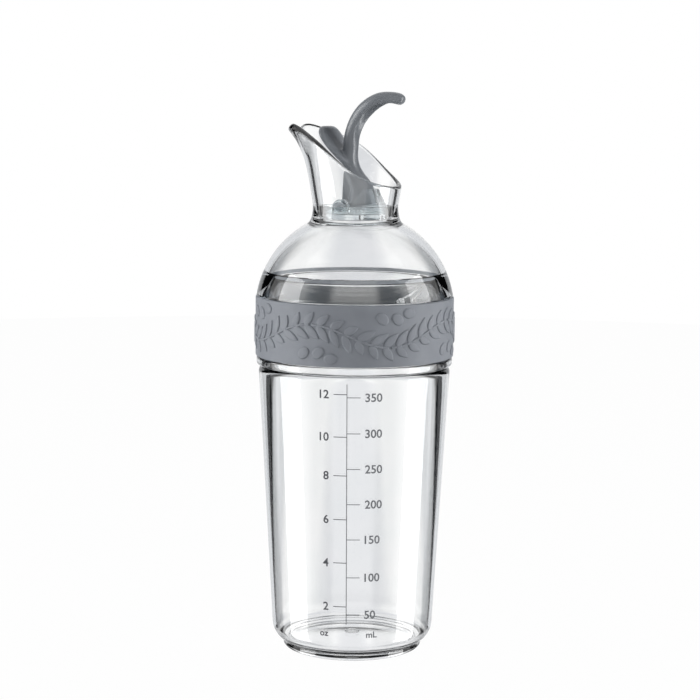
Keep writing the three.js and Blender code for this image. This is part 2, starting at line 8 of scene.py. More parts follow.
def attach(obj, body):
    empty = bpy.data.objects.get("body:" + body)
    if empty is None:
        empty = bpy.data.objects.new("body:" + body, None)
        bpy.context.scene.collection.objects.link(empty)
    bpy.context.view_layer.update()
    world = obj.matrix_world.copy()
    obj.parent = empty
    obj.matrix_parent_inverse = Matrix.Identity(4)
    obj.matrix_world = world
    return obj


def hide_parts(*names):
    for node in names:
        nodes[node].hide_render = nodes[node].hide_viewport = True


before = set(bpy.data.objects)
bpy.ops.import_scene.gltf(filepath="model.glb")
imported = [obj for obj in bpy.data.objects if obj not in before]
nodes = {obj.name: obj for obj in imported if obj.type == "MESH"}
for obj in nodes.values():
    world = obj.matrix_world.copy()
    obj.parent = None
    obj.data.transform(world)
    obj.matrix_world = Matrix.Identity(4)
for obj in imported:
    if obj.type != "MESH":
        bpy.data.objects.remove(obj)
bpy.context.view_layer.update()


# Camera. It stands three quarters of a metre away, level with the lever's hook, and looks
# slightly down at the side of the bottle that carries the printed scale.
CAMERA_AZIMUTH = math.radians(25)
CAMERA_DISTANCE = 0.7377
CAMERA_HEIGHT = 0.22106
CAMERA_TILT = math.radians(7.6)
CAMERA_YAW = math.radians(0.138)
CAMERA_ROLL = math.radians(0.473)
CAMERA_LENS = 93.45
CAMERA_SENSOR = 36

camera_data = bpy.data.cameras.new("camera")
camera_data.lens = CAMERA_LENS
camera_data.sensor_width = CAMERA_SENSOR
camera = bpy.data.objects.new("camera", camera_data)
bpy.context.scene.collection.objects.link(camera)
camera.matrix_world = (
    Matrix.Translation(
        (
            CAMERA_DISTANCE * math.sin(CAMERA_AZIMUTH),
            -CAMERA_DISTANCE * math.cos(CAMERA_AZIMUTH),
            CAMERA_HEIGHT,
        )
    )
    @ Matrix.Rotation(CAMERA_AZIMUTH + CAMERA_YAW, 4, "Z")
    @ Matrix.Rotation(math.pi / 2 - CAMERA_TILT, 4, "X")
    @ Matrix.Rotation(CAMERA_ROLL, 4, "Z")
)
bpy.context.scene.camera = camera
bpy.context.scene.view_settings.view_transform = "Standard"


# Studio. A white table in a white light tent. A dark flag stands at each far corner and a grey one
# at each near corner, to draw the edges of clear plastic. The tent is white to the camera.
TENT_WHITE = "#ffffff"
TENT_SEAM = "#e6e7ea"
TENT_GREY = "#dcdee1"
TENT_ROOF = "#eeeff1"
TENT_FILL = "#f4f5f7"
TENT_SHADE = "#8a8d91"
FLAG_BLACK = "#17181a"
FLAG_GREY = "#8d9094"
TENT_GLOW = 0.35
# Bearings in degrees, from straight behind the bottle to straight behind the camera.
TENT_WALL = [
    (1.8, TENT_SEAM),
    (2.6, TENT_WHITE),
    (9.0, TENT_WHITE),
    (12.0, TENT_GREY),
    (32.5, TENT_GREY),
    (34.0, FLAG_BLACK),
    (59.0, FLAG_BLACK),
    (62.0, TENT_WHITE),
    (112.0, TENT_WHITE),
    (122.0, FLAG_GREY),
    (146.0, FLAG_GREY),
    (154.0, TENT_WHITE),
]
# The steepness, as the sine of an angle, at which the walls give way to the roof above and to the
# shade below.
ROOF_STARTS = 0.5
ROOF_ENDS = 0.82
SHADE_STARTS = -0.75
SHADE_ENDS = -0.84


def linear(hex_colour):
    """An sRGB hex colour as the linear colour that a socket takes."""
    channels = [int(hex_colour[i : i + 2], 16) / 255 for i in (1, 3, 5)]
    return [c / 12.92 if c <= 0.04045 else ((c + 0.055) / 1.055) ** 2.4 for c in channels] + [1]


def add(tree, kind, settings=None, inputs=None):
    """A node with its settings, a ramp's colour stops too, and with values or links on its inputs."""
    node = tree.nodes.new(kind)
    for name, value in (settings or {}).items():
        if name == "stops":
            ramp = node.color_ramp.elements
            while len(ramp) < len(value):
                ramp.new(0.5)
            for stop, (place, colour) in zip(ramp, value):
                stop.position = place
                stop.color = linear(colour)
        else:
            setattr(node, name, value)
    for name, value in (inputs or {}).items():
        if isinstance(value, bpy.types.NodeSocket):
            tree.links.new(value, node.inputs[name])
        else:
            node.inputs[name].default_value = value
    return node


world = bpy.data.worlds.new("white_tent_with_flags")
bpy.context.scene.world = world
world.use_nodes = True
tent = world.node_tree
tent.nodes.clear()
direction = add(tent, "ShaderNodeTexCoord").outputs["Generated"]
away = (-math.sin(CAMERA_AZIMUTH), math.cos(CAMERA_AZIMUTH), 0)
aside = (math.cos(CAMERA_AZIMUTH), math.sin(CAMERA_AZIMUTH), 0)
ahead = add(tent, "ShaderNodeVectorMath", {"operation": "DOT_PRODUCT"}, {0: direction, 1: away})
across = add(tent, "ShaderNodeVectorMath", {"operation": "DOT_PRODUCT"}, {0: direction, 1: aside})
bearing = add(
    tent,
    "ShaderNodeMath",
    {"operation": "ARCTAN2"},
    {0: across.outputs["Value"], 1: ahead.outputs["Value"]},
)
off_axis = add(tent, "ShaderNodeMath", {"operation": "ABSOLUTE"}, {0: bearing.outputs[0]})
half_turn = add(tent, "ShaderNodeMath", {"operation": "DIVIDE"}, {0: off_axis.outputs[0], 1: math.pi})
flags = add(
    tent,
    "ShaderNodeValToRGB",
    {"stops": [(degrees / 180, colour) for degrees, colour in TENT_WALL]},
    {"Fac": half_turn.outputs[0]},
)
# The flags stand upright, so they end below the tent's roof.
upward = add(tent, "ShaderNodeSeparateXYZ", {}, {"Vector": direction}).outputs["Z"]
steep = add(tent, "ShaderNodeMath", {"operation": "ABSOLUTE"}, {0: upward})
roof = add(
    tent,
    "ShaderNodeMapRange",
    {"interpolation_type": "SMOOTHSTEP"},
    {"Value": steep.outputs[0], "From Min": ROOF_STARTS, "From Max": ROOF_ENDS},
)
walls = add(
    tent,
    "ShaderNodeMixRGB",
    {},
    {"Fac": roof.outputs[0], "Color1": flags.outputs["Color"], "Color2": linear(TENT_ROOF)},
)
# Straight under the table it is shaded, which draws the rings of the bottle's foot.
under = add(
    tent,
    "ShaderNodeMapRange",
    {"interpolation_type": "SMOOTHSTEP"},
    {"Value": upward, "From Min": SHADE_STARTS, "From Max": SHADE_ENDS},
)
surround = add(
    tent,
    "ShaderNodeMixRGB",
    {},
    {"Fac": under.outputs[0], "Color1": walls.outputs["Color"], "Color2": linear(TENT_SHADE)},
)
flagged = add(tent, "ShaderNodeBackground", {}, {"Color": surround.outputs["Color"], "Strength": 1.0})
soft = add(tent, "ShaderNodeBackground", {}, {"Color": linear(TENT_FILL), "Strength": TENT_GLOW})
white = add(tent, "ShaderNodeBackground", {}, {"Color": linear(TENT_WHITE), "Strength": 1.0})
ray = add(tent, "ShaderNodeLightPath").outputs
seen_in_gloss = add(
    tent,
    "ShaderNodeMath",
    {"operation": "MAXIMUM"},
    {0: ray["Is Glossy Ray"], 1: ray["Is Transmission Ray"]},
)
lit = add(
    tent,
    "ShaderNodeMixShader",
    {},
    {0: seen_in_gloss.outputs[0], 1: soft.outputs[0], 2: flagged.outputs[0]},
)
shown = add(
    tent,
    "ShaderNodeMixShader",
    {},
    {0: ray["Is Camera Ray"], 1: lit.outputs[0], 2: white.outputs[0]},
)
add(tent, "ShaderNodeOutputWorld", {}, {"Surface": shown.outputs[0]})


def new_material(name):
    """A material without nodes yet, and the tree to put them in."""
    material = bpy.data.materials.new(name)
    material.use_nodes = True
    material.node_tree.nodes.clear()
    return material, material.node_tree


TABLE_WHITE = "#fbfbfb"
TABLE_GLOW = 0.975
TABLE_RADIUS = 1.2
TABLE_SIDES = 96
TABLE_GAP = 0.0004

# White laminate: matt, nearly white to the camera, and clear where it is seen through plastic.
table_material, table_tree = new_material("white_laminate_table")
table_matt = add(table_tree, "ShaderNodeBsdfDiffuse", {}, {"Color": linear(TABLE_WHITE)})
table_glow = add(table_tree, "ShaderNodeEmission", {}, {"Color": linear(TENT_WHITE), "Strength": 1.0})
table_clear = add(table_tree, "ShaderNodeBsdfTransparent", {}, {"Color": linear(TENT_WHITE)})
table_ray = add(table_tree, "ShaderNodeLightPath").outputs
table_bright = add(
    table_tree,
    "ShaderNodeMath",
    {"operation": "MULTIPLY"},
    {0: table_ray["Is Camera Ray"], 1: TABLE_GLOW},
)
table_seen = add(
    table_tree,
    "ShaderNodeMixShader",
    {},
    {0: table_bright.outputs[0], 1: table_matt.outputs[0], 2: table_glow.outputs[0]},
)
through_plastic = add(
    table_tree,
    "ShaderNodeMath",
    {"operation": "MAXIMUM"},
    {0: table_ray["Is Glossy Ray"], 1: table_ray["Is Transmission Ray"]},
)
table_mix = add(
    table_tree,
    "ShaderNodeMixShader",
    {},
    {0: through_plastic.outputs[0], 1: table_seen.outputs[0], 2: table_clear.outputs[0]},
)
add(table_tree, "ShaderNodeOutputMaterial", {}, {"Surface": table_mix.outputs[0]})

table_mesh = bpy.data.meshes.new("table")
table_shape = bmesh.new()
bmesh.ops.create_circle(table_shape, cap_ends=True, radius=TABLE_RADIUS, segments=TABLE_SIDES)
table_shape.to_mesh(table_mesh)
table_shape.free()
table_mesh.materials.append(table_material)
table = bpy.data.objects.new("table", table_mesh)
table.location.z = -TABLE_GAP
bpy.context.scene.collection.objects.link(table)

LAMP_TARGET = Vector((0, 0, 0.15))


def soft_box(name, bearing_degrees, distance, height, size, watts, mirrored=True):
    """A soft lamp at a bearing from the camera's side of the bottle."""
    lamp = bpy.data.lights.new(name, "AREA")
    lamp.shape = "RECTANGLE"
    lamp.size, lamp.size_y = size
    lamp.energy = watts
    holder = bpy.data.objects.new(name, lamp)
    turn = CAMERA_AZIMUTH + math.radians(bearing_degrees)
    place = Vector((distance * math.sin(turn), -distance * math.cos(turn), height))
    holder.location = place
    holder.rotation_euler = (place - LAMP_TARGET).to_track_quat("Z", "Y").to_euler()
    holder.visible_transmission = False
    holder.visible_glossy = mirrored
    bpy.context.scene.collection.objects.link(holder)


soft_box("left_soft_box", -82, 0.9, 0.04, (0.5, 1.36), 10)
soft_box("right_soft_box", 82, 0.9, 0.04, (0.5, 1.36), 10)
soft_box("top_soft_box", -25, 0.7, 0.9, (0.4, 0.4), 0.8, False)


# Bottle. One thick clear moulding in styrene acrylonitrile, polished like the mould, so it is
# nearly as bright as glass: clear face on, with dark lines where the wall is seen edge on. The
# neck carries two screw ridges, and the inside tapers to let the mould's core out.
MM = 0.001
TINY = 1e-5
TURN_STEPS = 192
WALL_ROWS = 12
SHOULDER_RADIUS = 39.1
SHOULDER_Z = 116.8
SHOULDER_ROUND = 2.4
HEEL_RADIUS = 33.2
HEEL_ROUND = 8.0
FOOT_RADIUS = 28.6
FOOT_INSIDE = 25.8
FOOT_ROUND = 0.6
FOOT_Z = 2.6
FOOT_GROOVE = 0.35
HOLLOW_RADIUS = 24.6
HOLLOW_Z = 0.9
FLOOR_RADIUS = 31.4
FLOOR_Z = 4.6
CORNER_ROUND = 2.2
GATE_RADIUS = 2.6
GATE_BEAD = 0.5
NECK_RADIUS = 35.4
NECK_FILLET = 0.5
NECK_BORE_RADIUS = 33.6
RIM_Z = 152.4
RIM_ROUND = 0.6
BORE_LENGTH = 48.4
BORE_BEND_Z = 55
THREAD_LEAD = 12.0
THREAD_TURNS = 0.75
THREAD_BELOW = 2
THREAD_ABOVE = 11
THREAD_ROWS = 0.3
RIDGE_HEIGHT = 1.0
RIDGE_BASE = 2.3
RIDGE_CREST = 1.1
# A ridge comes up to its full height over a tenth of a turn at each end.
RIDGE_FADE = 10
BOTTLE_THREAD_Z = 136.0
CLEAR_SHADOW = "#f4f6f7"


def clear_plastic(name, low, high, ior, roughness, flow_mm, flow_depth, clearness=1.0):
    """Clear plastic. The melt's faint flow waves its surface a little, and shifts its tint."""
    material, tree = new_material(name)
    place = add(tree, "ShaderNodeTexCoord").outputs["Object"]
    flow = add(
        tree,
        "ShaderNodeTexNoise",
        {},
        {"Vector": place, "Scale": 1 / (flow_mm * MM), "Detail": 1.0},
    ).outputs["Fac"]
    tint = add(tree, "ShaderNodeValToRGB", {"stops": [(0.3, low), (0.7, high)]}, {"Fac": flow})
    wave = add(tree, "ShaderNodeBump", {}, {"Strength": 1.0, "Distance": flow_depth * MM, "Height": flow})
    body = add(
        tree,
        "ShaderNodeBsdfPrincipled",
        {},
        {
            "Base Color": tint.outputs["Color"],
            "Roughness": roughness,
            "IOR": ior,
            "Transmission Weight": clearness,
            "Normal": wave.outputs[0],
        },
    )
    # A shadow passes straight through, so that the table stays as pale as under real plastic.
    through = add(tree, "ShaderNodeBsdfTransparent", {}, {"Color": linear(CLEAR_SHADOW)})
    light = add(tree, "ShaderNodeLightPath").outputs
    mix = add(
        tree,
        "ShaderNodeMixShader",
        {},
        {0: light["Is Shadow Ray"], 1: body.outputs[0], 2: through.outputs[0]},
    )
    add(tree, "ShaderNodeOutputMaterial", {}, {"Surface": mix.outputs[0]})
    return material


def arc(centre, radius, start, end, steps):
    """Points of (radius, height) on an arc, with its angles in degrees."""
    turns = [math.radians(start + (end - start) * i / steps) for i in range(steps + 1)]
    return [(centre[0] + radius * math.cos(t), centre[1] + radius * math.sin(t)) for t in turns]


def bent(a, b, c, steps):
    """Points on the curve that starts at a towards b and ends at c."""
    out = []
    for i in range(steps + 1):
        t = i / steps
        out.append(tuple(a[k] * (1 - t) ** 2 + b[k] * 2 * t * (1 - t) + c[k] * t * t for k in (0, 1)))
    return out


def up_the_wall(radius, low, high, step):
    """Points up or down a straight wall, about a step apart."""
    count = max(1, round(abs(high - low) / step))
    return [(radius, low + (high - low) * i / count) for i in range(count + 1)]


def shaded(mesh, sharp):
    """Smooth shading, except at edges that turn by more than the sharp angle."""
    mesh.shade_smooth()
    mesh.set_sharp_from_angle(angle=math.radians(sharp))


def made(name, form, sharp=35):
    """An object in the scene from a worked form."""
    bmesh.ops.recalc_face_normals(form, faces=form.faces)
    mesh = bpy.data.meshes.new(name)
    form.to_mesh(mesh)
    form.free()
    shaded(mesh, sharp)
    piece = bpy.data.objects.new(name, mesh)
    bpy.context.scene.collection.objects.link(piece)
    return piece


def turned(name, profile, shape=None, steps=TURN_STEPS):
    """A closed profile of (radius, height) in mm, turned about an axis. shape moves each point."""
    points = [p for i, p in enumerate(profile) if math.dist(p, profile[i - 1]) > TINY]
    on_axis = points[0][0] < TINY and points[-1][0] < TINY
    form = bmesh.new()
    rings = []
    for radius, height in points:
        if radius < TINY:
            rings.append([form.verts.new((0, 0, height * MM))] * steps)
            continue
        ring = []
        for i in range(steps):
            angle = 2 * math.pi * i / steps
            r, a, z = shape(radius, angle, height) if shape else (radius, angle, height)
            ring.append(form.verts.new((r * math.cos(a) * MM, r * math.sin(a) * MM, z * MM)))
        rings.append(ring)
    last = len(rings) - 1 if on_axis else len(rings)
    for k in range(last):
        low, high = rings[k], rings[(k + 1) % len(rings)]
        for i in range(steps):
            j = (i + 1) % steps
            corners = [low[i], low[j], high[j], high[i]]
            form.faces.new([c for n, c in enumerate(corners) if c not in corners[:n]])
    return made(name, form)


def fitted(piece, material, body, node=None):
    """Gives a piece its finish, and has it ride on its body in place of a CAD node."""
    piece.data.materials.clear()
    piece.data.materials.append(material)
    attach(piece, body)
    if node:
        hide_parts(node)


def ridge(angle, height, foot):
    """How much of a screw ridge stands at a place on a wall, from 0 to 1."""
    most = 0.0
    for start in (0.0, 0.5):
        turn = (angle / (2 * math.pi) - start) % 1.0
        if turn > THREAD_TURNS:
            continue
        beside = abs(height - foot - turn * THREAD_LEAD)
        side = (RIDGE_BASE / 2 - beside) / ((RIDGE_BASE - RIDGE_CREST) / 2)
        end = RIDGE_FADE * min(turn, THREAD_TURNS - turn) + 0.1
        most = max(most, min(max(side, 0.0), 1.0) * min(end, 1.0))
    return most


def on_thread(radius, height, wall, foot):
    """Whether a point of a profile lies on the stretch of wall that carries the ridges."""
    return abs(radius - wall) < TINY and foot - THREAD_BELOW < height < foot + THREAD_ABOVE


def neck_thread(radius, angle, height):
    """Raises the screw ridges on the neck's wall."""
    if on_thread(radius, height, NECK_RADIUS, BOTTLE_THREAD_Z):
        radius += RIDGE_HEIGHT * ridge(angle, height, BOTTLE_THREAD_Z)
    return radius, angle, height


# The heel's round comes down to the groove above the foot.
heel_middle = HEEL_RADIUS - HEEL_ROUND
heel_start = -math.degrees(math.acos((FOOT_RADIUS + 0.3 - heel_middle) / HEEL_ROUND))
heel_z = FOOT_Z - HEEL_ROUND * math.sin(math.radians(heel_start))
wall_top_z = SHOULDER_Z - SHOULDER_ROUND
bore_z = RIM_Z - BORE_LENGTH


def wall_radius(height):
    """The outside radius of the bottle's tapered wall."""
    return HEEL_RADIUS + (SHOULDER_RADIUS - HEEL_RADIUS) * (height - heel_z) / (wall_top_z - heel_z)


wall_heights = [heel_z + (wall_top_z - heel_z) * i / WALL_ROWS for i in range(1, WALL_ROWS)]
# From the middle of the underside, out and up to the neck's rim, and down the inside to the floor,
# which has a small ring in its middle where the plastic came into the mould.
bottle_profile = (
    [(0, HOLLOW_Z), (HOLLOW_RADIUS, HOLLOW_Z)]
    + arc((FOOT_INSIDE + FOOT_ROUND, FOOT_ROUND), FOOT_ROUND, 180, 270, 4)
    + arc((FOOT_RADIUS - FOOT_ROUND, FOOT_ROUND), FOOT_ROUND, 270, 360, 4)
    + arc((FOOT_RADIUS + FOOT_GROOVE, FOOT_Z - 0.3), FOOT_GROOVE, 180, 90, 3)
    + arc((heel_middle, heel_z), HEEL_ROUND, heel_start + 3, 0, 14)
    + [(wall_radius(height), height) for height in wall_heights]
    + arc((SHOULDER_RADIUS - SHOULDER_ROUND, wall_top_z), SHOULDER_ROUND, 0, 90, 8)
    + arc((NECK_RADIUS + NECK_FILLET, SHOULDER_Z + NECK_FILLET), NECK_FILLET, 270, 180, 4)
    + up_the_wall(NECK_RADIUS, SHOULDER_Z + 1, BOTTLE_THREAD_Z - THREAD_BELOW, 4)
    + up_the_wall(NECK_RADIUS, BOTTLE_THREAD_Z - 1.8, BOTTLE_THREAD_Z + THREAD_ABOVE, THREAD_ROWS)
    + arc((NECK_RADIUS - RIM_ROUND, RIM_Z - RIM_ROUND), RIM_ROUND, 0, 90, 4)
    + arc((NECK_BORE_RADIUS + RIM_ROUND, RIM_Z - RIM_ROUND), RIM_ROUND, 90, 180, 4)
    + up_the_wall(NECK_BORE_RADIUS, RIM_Z - 1.5, bore_z + 2, 8)
    + bent(
        (NECK_BORE_RADIUS, bore_z),
        (NECK_BORE_RADIUS - 0.3, BORE_BEND_Z),
        (FLOOR_RADIUS, FLOOR_Z + CORNER_ROUND),
        12,
    )
    + arc((FLOOR_RADIUS - CORNER_ROUND, FLOOR_Z + CORNER_ROUND), CORNER_ROUND, 0, -90, 10)
    + [(12, FLOOR_Z)]
    + arc((GATE_RADIUS, FLOOR_Z), GATE_BEAD, 0, 180, 8)
    + [(0, FLOOR_Z)]
)
# Styrene acrylonitrile, polished: as bright as glass, with a trace of waviness 14 mm across.
clear_moulding = clear_plastic("clear_styrene_acrylonitrile", "#fcfdfd", "#ffffff", 1.57, 0.0, 14, 0.02)
bottle = turned("clear_bottle", bottle_profile, neck_thread)
fitted(bottle, clear_moulding, "bottle", "bottle")


# Lid. The same clear plastic as the bottle, moulded in one piece: a skirt with two screw
# ridges inside it, a dome, and a pitcher spout whose slanted mouth ends in a drooping lip.
BORE_RADIUS = 36.8
BORE_TOP_RADIUS = 35.8
SKIRT_RADIUS = 38.9
FLANGE_RADIUS = 40.0
FLANGE_Z = 117.1
FLANGE_HEIGHT = 3.5
FLANGE_ROUND = 1.2
FLANGE_TOP_ROUND = 0.9
DOME_RADIUS = 40.6
DOME_INSIDE = 37.9
DOME_CENTRE_Z = 139.0
DOME_EDGE_Z = 145.4
GASKET_SEAT_Z = 154.4
SPOUT_FOOT = (19.06, 174.85)
LEDGE_Z = 176.0
THROAT_RADIUS = 13.2
WAIST_RADIUS = 17.3
WAIST_Z = 182.0
SPOUT_WALL = 2.2
SPOUT_SPREAD = 2.9
LIP_RISE = 32.0
LIP_LENGTH = 9.9
LIP_CURVE = 2.7
LIP_SHARE = 0.8
LIP_SHARPNESS = 20
MOUTH_RISE = 17.95
MOUTH_SLOPE = 0.3
MOUTH_STEP = 5.7
MOUTH_STEP_LENGTH = 11.0
LIP_CROWN = 1.2
LIP_DROOP = 4.2
DROOP_SHARPNESS = 120
SPOUT_LEVELS = 28
MOUTH_ROUND = 0.95
SOFT_EDGE = 0.3
# The lid's ridges run just under the neck's.
LID_THREAD_Z = BOTTLE_THREAD_Z - 1.81


def spout_radius(angle, z):
    """The spout's outside radius, at an angle from its lip."""
    climb = max(0.0, (z - WAIST_Z) / LIP_RISE)
    around = WAIST_RADIUS + SPOUT_SPREAD * (1 - (1 - min(climb, 1)) ** 2)
    facing = (1 + math.cos(angle)) / 2
    beak = LIP_SHARE * facing**LIP_SHARPNESS + (1 - LIP_SHARE) * facing**2
    return around + LIP_LENGTH * climb**LIP_CURVE * beak


def mouth_height(angle):
    """The height of the slanted mouth, at an angle from its lip."""
    facing = (1 + math.cos(angle)) / 2
    lip = LIP_CROWN * facing**LIP_SHARPNESS - LIP_DROOP * facing**DROOP_SHARPNESS
    level = WAIST_Z + MOUTH_RISE
    z = level
    # The slant falls with x, and x follows from the height, so a few rounds settle both.
    for _ in range(12):
        x = -spout_radius(angle, z) * math.cos(angle)
        z = level - MOUTH_SLOPE * x - MOUTH_STEP * math.tanh(x / MOUTH_STEP_LENGTH) + lip
    return z


# The mouth's height at each angle, worked out once.
mouth_edge = {}


def open_spout(radius, angle, height):
    """Opens the straight spout out to its lip, and raises the screw ridges inside the skirt."""
    if on_thread(radius, height, BORE_RADIUS, LID_THREAD_Z):
        return radius - RIDGE_HEIGHT * ridge(angle, height, LID_THREAD_Z), angle, height
    if height <= WAIST_Z + TINY:
        return radius, angle, height
    from_lip = angle - math.pi
    if angle not in mouth_edge:
        mouth_edge[angle] = mouth_height(from_lip)
    share = min(1.0, (height - WAIST_Z) / SPOUT_LEVELS)
    z = WAIST_Z + share * (mouth_edge[angle] - WAIST_Z)
    # The mouth is trimmed square to its leaning wall, so its outer edge lies below its inner one.
    lean = spout_radius(from_lip, z + 0.5) - spout_radius(from_lip, z - 0.5)
    drop = lean * share**2 * (radius - WAIST_RADIUS + SPOUT_WALL)
    above = max(0.0, height - WAIST_Z - SPOUT_LEVELS)
    return spout_radius(from_lip, z) + radius - WAIST_RADIUS, angle, z - drop + above


dome_start = math.degrees(math.asin((DOME_EDGE_Z - DOME_CENTRE_Z) / DOME_RADIUS))
dome_end = math.degrees(math.acos(SPOUT_FOOT[0] / DOME_RADIUS))
throat_angle = math.degrees(math.acos(THROAT_RADIUS / DOME_INSIDE))
seat_angle = math.degrees(math.asin((GASKET_SEAT_Z - DOME_CENTRE_Z) / DOME_INSIDE))
spout_top = WAIST_Z + SPOUT_LEVELS
spout_inside = WAIST_RADIUS - SPOUT_WALL
flange_top_z = FLANGE_Z + FLANGE_HEIGHT
# From the flange up the skirt, over the dome and up the spout, then down again inside.
lid_profile = (
    arc((FLANGE_RADIUS - FLANGE_ROUND, FLANGE_Z + FLANGE_ROUND), FLANGE_ROUND, 270, 360, 6)
    + arc((FLANGE_RADIUS - FLANGE_TOP_ROUND, flange_top_z - FLANGE_TOP_ROUND), FLANGE_TOP_ROUND, 0, 90, 6)
    + [(SKIRT_RADIUS + 0.1, flange_top_z), (SKIRT_RADIUS, flange_top_z + 0.2)]
    + [(SKIRT_RADIUS, DOME_EDGE_Z - 0.2), (SKIRT_RADIUS + 0.2, DOME_EDGE_Z)]
    + arc((0, DOME_CENTRE_Z), DOME_RADIUS, dome_start + 0.3, dome_end, 40)
    + bent(SPOUT_FOOT, (WAIST_RADIUS, SPOUT_FOOT[1] + 1.6), (WAIST_RADIUS, WAIST_Z), 12)[1:]
    + up_the_wall(WAIST_RADIUS, WAIST_Z + 1, spout_top, 1)
    + arc((WAIST_RADIUS - MOUTH_ROUND, spout_top), MOUTH_ROUND, 0, 90, 4)[1:]
    + arc((spout_inside + MOUTH_ROUND, spout_top), MOUTH_ROUND, 90, 180, 4)[:-1]
    + up_the_wall(spout_inside, spout_top, WAIST_Z, 1)
    + [(spout_inside, LEDGE_Z + SOFT_EDGE), (spout_inside - SOFT_EDGE, LEDGE_Z)]
    + [(THROAT_RADIUS + SOFT_EDGE, LEDGE_Z), (THROAT_RADIUS, LEDGE_Z - SOFT_EDGE)]
    + arc((0, DOME_CENTRE_Z), DOME_INSIDE, throat_angle, seat_angle, 40)
    + [(BORE_TOP_RADIUS - 0.2, GASKET_SEAT_Z), (BORE_TOP_RADIUS, GASKET_SEAT_Z - 0.2)]
    + [(BORE_TOP_RADIUS, RIM_Z - 1.6), (BORE_RADIUS - 0.02, LID_THREAD_Z + THREAD_ABOVE + 0.2)]
    + up_the_wall(BORE_RADIUS, LID_THREAD_Z + THREAD_ABOVE, LID_THREAD_Z - THREAD_BELOW, THREAD_ROWS)
    + [(BORE_RADIUS, FLANGE_Z + 0.4), (BORE_RADIUS + 0.4, FLANGE_Z)]
)
lid = turned("clear_lid", lid_profile, open_spout)
fitted(lid, clear_moulding, "lid", "lid")


# Spout floor. A thinner clear moulding pressed into the spout, with a faint cool tint. It has
# a lipped outlet on one side of its axis, and two lugs with a raised ring each that hold the
# hinge pin.
CUP_RADIUS = 14.8
CUP_INSIDE = 13.6
CUP_ROUND = 0.6
CUP_Z = 176.3
CUP_FLOOR_Z = 178.3
CUP_TOP_Z = 181.7
OUTLET_X = 5.2
OUTLET_RADIUS = 3.9
OUTLET_LIP_RADIUS = 5.0
OUTLET_LIP = 0.6
OUTLET_LOW_Z = 174
OUTLET_HIGH_Z = 180
PIVOT = (-2.5, 181.2)
LUG_ROUND = 3.5
LUG_INSIDE = 7.1
LUG_THICKNESS = 1.6
LUG_ROOT = 1.0
BOSS_RADIUS = 2.95
BOSS_BEAD = 0.4
BOSS_ROOT = 0.5
PIN_RADIUS = 1.4
PIN_ROOM = 0.3
PIN_REACH = 12
SMALL_TURN_STEPS = 48


def slab(name, outline, low, high):
    """An outline of (x, z) in mm, made into a plate between two values of y."""
    form = bmesh.new()
    rings = [[form.verts.new((x * MM, y * MM, z * MM)) for x, z in outline] for y in (low, high)]
    form.faces.new(rings[0])
    form.faces.new(list(reversed(rings[1])))
    for i in range(len(outline)):
        j = (i + 1) % len(outline)
        form.faces.new([rings[0][j], rings[0][i], rings[1][i], rings[1][j]])
    return made(name, form)


def apply_steps(piece):
    """Makes a piece's modifiers part of its mesh."""
    evaluated = piece.evaluated_get(bpy.context.evaluated_depsgraph_get())
    mesh = bpy.data.meshes.new_from_object(evaluated)
    piece.modifiers.clear()
    piece.data = mesh


def combine(target, tool, operation):
    """Adds a second closed piece to the first, or cuts it away."""
    step = target.modifiers.new("combine", "BOOLEAN")
    step.operation = operation
    step.object = tool
    step.solver = "EXACT"
    apply_steps(target)
    bpy.data.objects.remove(tool)


def disc(name, radius, reach):
    """A round slab about the hinge pin's axis, as far to one side as to the other."""
    return slab(name, arc(PIVOT, radius, 0, 350, 35), -reach, reach)


def drill_for_pin(piece):
    """Cuts the hinge pin's hole through a piece, with a little room round the pin."""
    combine(piece, disc("pin_hole", PIN_RADIUS + PIN_ROOM, PIN_REACH), "DIFFERENCE")


cup_profile = (
    [(0, CUP_Z), (CUP_RADIUS - SOFT_EDGE, CUP_Z), (CUP_RADIUS, CUP_Z + SOFT_EDGE)]
    + [(CUP_RADIUS, CUP_TOP_Z - SOFT_EDGE)]
    + arc(((CUP_RADIUS + CUP_INSIDE) / 2, CUP_TOP_Z - SOFT_EDGE), CUP_ROUND, 0, 180, 6)[1:]
    + arc((CUP_INSIDE - CUP_ROUND, CUP_FLOOR_Z + CUP_ROUND), CUP_ROUND, 0, -90, 4)
    + [(0, CUP_FLOOR_Z)]
)
boss_profile = arc((BOSS_RADIUS, 0), BOSS_BEAD, 0, 180, 8) + [
    (BOSS_RADIUS - BOSS_BEAD, -BOSS_ROOT),
    (BOSS_RADIUS + BOSS_BEAD, -BOSS_ROOT),
]
lug_root_z = CUP_FLOOR_Z - LUG_ROOT
lug_outline = (
    [(PIVOT[0] + LUG_ROUND, lug_root_z)]
    + arc(PIVOT, LUG_ROUND, 0, 180, 20)
    + [(PIVOT[0] - LUG_ROUND, lug_root_z)]
)
spout_floor = turned("clear_spout_floor", cup_profile, None, 128)
for side in (-1, 1):
    outer_face = side * (LUG_INSIDE + LUG_THICKNESS)
    near, far = sorted((side * LUG_INSIDE, outer_face))
    combine(spout_floor, slab("lug", lug_outline, near, far), "UNION")
    boss = turned("boss", boss_profile, None, SMALL_TURN_STEPS)
    boss.data.transform(Matrix.Rotation(-side * math.pi / 2, 4, "X"))
    boss.data.transform(Matrix.Translation((PIVOT[0] * MM, outer_face * MM, PIVOT[1] * MM)))
    combine(spout_floor, boss, "UNION")
outlet_lip_profile = (
    [(0, CUP_FLOOR_Z - 1.3)]
    + arc((OUTLET_LIP_RADIUS - OUTLET_LIP, CUP_FLOOR_Z), OUTLET_LIP, 0, 90, 4)
    + [(0, CUP_FLOOR_Z + OUTLET_LIP)]
)
outlet_profile = [
    (0, OUTLET_LOW_Z),
    (OUTLET_RADIUS, OUTLET_LOW_Z),
    (OUTLET_RADIUS, OUTLET_HIGH_Z),
    (0, OUTLET_HIGH_Z),
]
